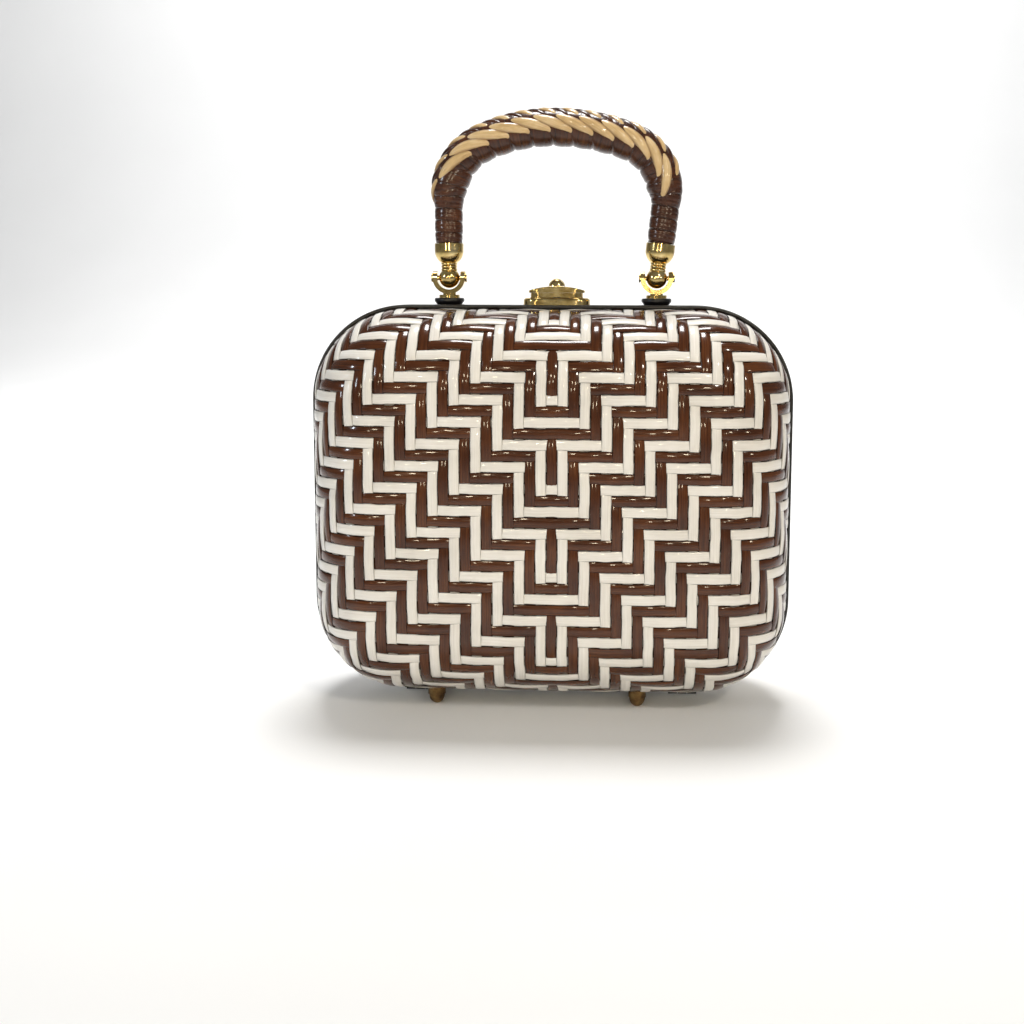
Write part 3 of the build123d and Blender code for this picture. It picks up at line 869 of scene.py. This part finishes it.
# How each material is made, and its values; colours are linear red, green and blue
RECIPES = {
    "brown_strip": (
        strip_material,
        {
            "dark": (0.022, 0.006, 0.0015),
            "middle": (0.066, 0.019, 0.0045),
            "light": (0.13, 0.042, 0.011),
            "roughness": 0.2,
            "coat": 0.62,
            "streak_depth": 0.35,
        },
    ),
    "white_strip": (
        strip_material,
        {
            "dark": (0.63, 0.595, 0.54),
            "middle": (0.745, 0.715, 0.665),
            "light": (0.83, 0.805, 0.765),
            "roughness": 0.3,
            "coat": 0.35,
            "streak_depth": 0.25,
        },
    ),
    "handle_brown": (
        lacing_material,
        {
            "dark": (0.022, 0.007, 0.003),
            "middle": (0.055, 0.017, 0.006),
            "light": (0.12, 0.04, 0.013),
            # edge and its width: painted shade in the seams between turns and at the strands'
            # sides
            "edge": (0.008, 0.003, 0.001),
            "edge_width": 0.1,
            "roughness": 0.22,
            "coat": 0.35,
        },
    ),
    "handle_cream": (
        lacing_material,
        {
            "dark": (0.46, 0.29, 0.12),
            "middle": (0.66, 0.46, 0.22),
            "light": (0.8, 0.62, 0.37),
            # edge and its width: painted shade at the cream strands' sides, wide so that they
            # look rounded
            "edge": (0.2, 0.09, 0.03),
            "edge_width": 0.24,
            "roughness": 0.28,
            "coat": 0.7,
        },
    ),
    "gilt": (
        metal_material,
        {
            "dark": (0.42, 0.28, 0.09),
            "middle": (0.72, 0.53, 0.21),
            "light": (0.9, 0.74, 0.38),
            "roughness": 0.08,
        },
    ),
    "antique_brass": (
        metal_material,
        {
            "dark": (0.07, 0.04, 0.018),
            "middle": (0.2, 0.12, 0.05),
            "light": (0.38, 0.25, 0.1),
            "roughness": 0.24,
        },
    ),
    "dark_steel": (
        metal_material,
        {
            "dark": (0.08, 0.075, 0.07),
            "middle": (0.16, 0.15, 0.14),
            "light": (0.3, 0.29, 0.27),
            "roughness": 0.3,
        },
    ),
    "black_frame": (
        enamel_material,
        {"dark": (0.006, 0.0055, 0.005), "light": (0.02, 0.017, 0.014), "roughness": 0.32},
    ),
    "black_washer": (
        enamel_material,
        {"dark": (0.004, 0.004, 0.005), "light": (0.012, 0.01, 0.012), "roughness": 0.3},
    ),
    "lining_cloth": (
        cloth_material,
        {"dark": (0.26, 0.18, 0.1), "light": (0.5, 0.38, 0.24), "threads": 700.0},
    ),
    "shell_board": (
        board_material,
        {"dark": (0.012, 0.007, 0.005), "light": (0.035, 0.022, 0.015)},
    ),
    "handle_rod": (
        board_material,
        {"dark": (0.03, 0.016, 0.009), "light": (0.07, 0.04, 0.022)},
    ),
}


def make_materials():
    return {name: recipe(name, **values) for name, (recipe, values) in RECIPES.items()}


def dress_frame(materials):
    """Gives each CAD node the material of its slot in the record."""
    other_names = {"handle_brown_strand": "handle_brown"}
    for entry in frame["record"]["subparts"]:
        slot = entry["material_slot"]
        material = materials[other_names.get(slot, slot)]
        node = frame["nodes"][entry["node"]]
        if not node.material_slots:
            node.data.materials.append(material)
        for place in node.material_slots:
            place.material = material


# ---------------------------------------------------------------- stage, light and camera
VIEW_TARGET = Vector((0, 0, 0.135))
VIEW_AZIMUTH, VIEW_ELEVATION, VIEW_ROLL = 2.415, 5.963, 0.165
VIEW_DISTANCE = 0.527
SENSOR_WIDTH = 36.0
FOCAL_PER_WIDTH = 1.13054
AIM_RIGHT, AIM_UP = 0.0387, 0.1021
CLIP_START = 0.01


def make_camera():
    data = bpy.data.cameras.new("camera")
    data.sensor_width = SENSOR_WIDTH
    data.lens = FOCAL_PER_WIDTH * SENSOR_WIDTH
    data.shift_x, data.shift_y = -AIM_RIGHT, -AIM_UP
    data.clip_start = CLIP_START
    camera = bpy.data.objects.new("camera", data)
    bpy.context.scene.collection.objects.link(camera)
    azimuth, elevation = math.radians(VIEW_AZIMUTH), math.radians(VIEW_ELEVATION)
    forward = Vector(
        (
            -math.sin(azimuth) * math.cos(elevation),
            math.cos(azimuth) * math.cos(elevation),
            -math.sin(elevation),
        )
    )
    turn = forward.to_track_quat("-Z", "Y").to_matrix()
    roll = Matrix.Rotation(math.radians(VIEW_ROLL), 3, "Z")
    camera.matrix_world = Matrix.LocRotScale(
        VIEW_TARGET - forward * VIEW_DISTANCE, (turn @ roll).to_quaternion(), None
    )
    bpy.context.scene.camera = camera


FLOOR_FRONT, FLOOR_BACK, FLOOR_HALF_WIDTH = -2.5, 1.6, 3.5
SWEEP_RADIUS, SWEEP_STEPS = 0.8, 16
WALL_TOP = 3.2


def make_stage():
    """Pale floor that sweeps up into a pale wall behind."""
    profile = [(FLOOR_FRONT, 0.0), (FLOOR_BACK, 0.0)]
    for step in range(1, SWEEP_STEPS + 1):
        angle = math.pi / 2 * step / SWEEP_STEPS
        out, up = SWEEP_RADIUS * math.sin(angle), SWEEP_RADIUS * (1 - math.cos(angle))
        profile.append((FLOOR_BACK + out, up))
    profile.append((FLOOR_BACK + SWEEP_RADIUS, WALL_TOP))
    vertices = [(side * FLOOR_HALF_WIDTH, y, z) for y, z in profile for side in (-1, 1)]
    faces = [(2 * i, 2 * i + 1, 2 * i + 3, 2 * i + 2) for i in range(len(profile) - 1)]
    mesh = bpy.data.meshes.new("floor")
    mesh.from_pydata(vertices, [], faces)
    mesh.polygons.foreach_set("use_smooth", [True] * len(faces))
    n = Nodes("floor")
    tone = n.noise(n.place(), 3.0, 2.0)
    n.shade(Base_Color=n.ramp(tone, [(0.3, (0.9, 0.9, 0.895)), (0.7, (0.93, 0.93, 0.925))]))
    n.settle(Roughness=0.7, Specular_IOR_Level=0.2)
    mesh.materials.append(n.material)
    floor = bpy.data.objects.new("floor", mesh)
    bpy.context.scene.collection.objects.link(floor)


WORLD_COLOUR, WORLD_STRENGTH = (0.95, 0.97, 1.0, 1), 0.2
MIDDLE, FLOOR_BEHIND, WALL_FOOT = (0, 0, 0.13), (0, 0.5, 0), (0, 2.4, 0.2)
WARM, SUNNY, COOL, WHITE = (1.0, 0.86, 0.62), (1.0, 0.93, 0.82), (0.8, 0.9, 1.0), (1, 1, 1)
NARROW, MEDIUM, WIDE = 50.0, 90.0, 180.0

# Name, place, target, size, watts, colour and spread. The sparks are small bare lamps that
# give the strips their short glints.
LAMPS = (
    ("key", (0.62, -1.0, 0.95), MIDDLE, (0.12, 0.12), 0.36, SUNNY, NARROW),
    ("warm", (0.95, -0.75, 0.4), MIDDLE, (0.08, 0.08), 0.1, WARM, NARROW),
    ("cool", (-0.95, -0.6, 0.5), MIDDLE, (0.1, 0.22), 0.2, COOL, NARROW),
    ("spark_0", (0.34, -1.1, 0.46), MIDDLE, (0.1, 0.1), 0.11, WARM, NARROW),
    ("spark_1", (-0.24, -1.15, 0.5), MIDDLE, (0.1, 0.1), 0.11, WARM, NARROW),
    ("spark_2", (0.12, -1.25, 0.27), MIDDLE, (0.07, 0.07), 0.06, WARM, NARROW),
    ("spark_3", (-0.42, -1.05, 0.24), MIDDLE, (0.07, 0.07), 0.05, WARM, NARROW),
    ("top", (0.0, 0.45, 2.2), FLOOR_BEHIND, (0.7, 0.6), 11.0, WHITE, MEDIUM),
    ("wall", (0.0, 1.2, 1.5), WALL_FOOT, (2.6, 0.3), 30.0, WHITE, WIDE),
)


def area_light(name, place, target, size, power, colour, spread):
    data = bpy.data.lights.new(name, "AREA")
    data.shape = "RECTANGLE"
    data.size, data.size_y = size
    data.energy = power
    data.color = colour
    data.spread = math.radians(spread)
    light = bpy.data.objects.new(name, data)
    light.location = place
    light.rotation_euler = (Vector(target) - Vector(place)).to_track_quat("-Z", "Y").to_euler()
    bpy.context.scene.collection.objects.link(light)


def make_light():
    world = bpy.data.worlds.new("world")
    world.use_nodes = True
    background = world.node_tree.nodes["Background"]
    background.inputs["Color"].default_value = WORLD_COLOUR
    background.inputs["Strength"].default_value = WORLD_STRENGTH
    bpy.context.scene.world = world
    for lamp in LAMPS:
        area_light(*lamp)
    view = bpy.context.scene.view_settings
    view.view_transform = "Standard"
    view.exposure = 0.0


materials = make_materials()
dress_frame(materials)
make_camera()
make_weave(materials)
make_handle(materials)
make_lining(materials["lining_cloth"])
make_stage()
make_light()
